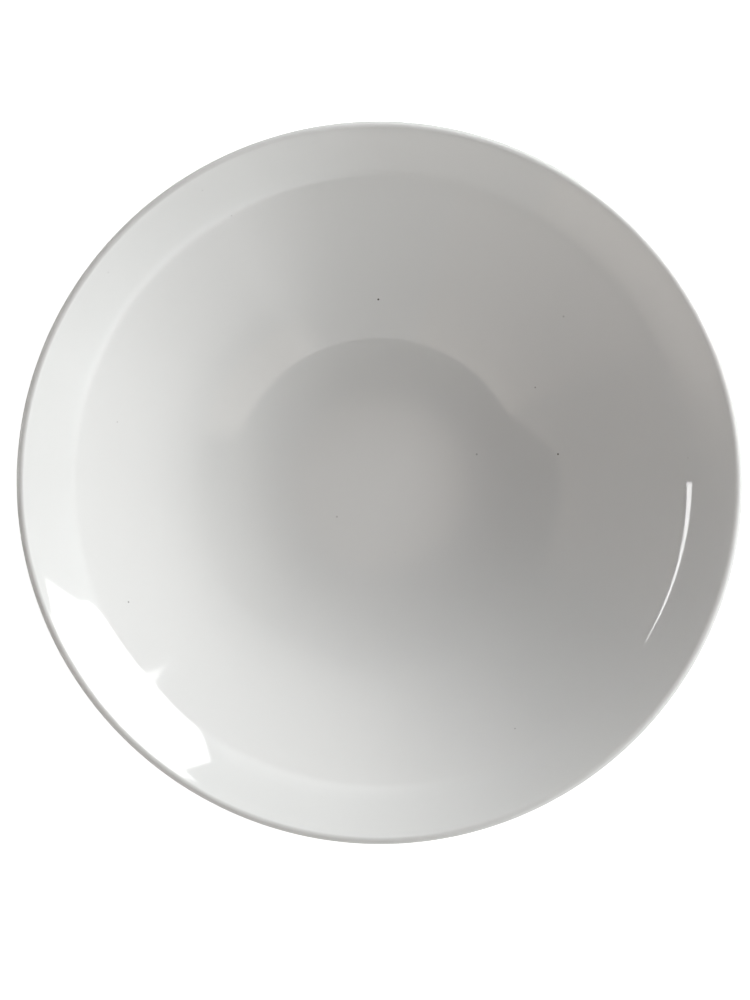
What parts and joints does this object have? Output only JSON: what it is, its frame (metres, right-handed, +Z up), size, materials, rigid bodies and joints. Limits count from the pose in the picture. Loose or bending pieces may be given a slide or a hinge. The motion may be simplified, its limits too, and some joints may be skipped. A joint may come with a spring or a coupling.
{
  "type": "evaporating dish",
  "caption": "Low, round evaporating dish with a soft bend under its rounded rim and no pouring lip, glazed all over except its flat foot.",
  "frame": {"origin": "centre of the flat foot, on the plane that the dish stands on", "axes": "+Z up along the dish's turning axis, towards its open side; X and Y are free, because the dish is round"},
  "size_m": [0.125, 0.125, 0.028],
  "materials": {
    "bare_porcelain": "matte",
    "glaze": "gloss"
  },
  "bodies": {
    "root": {"porcelain_body": "bare_porcelain", "glaze_coat": "glaze"}
  },
  "joints": []
}
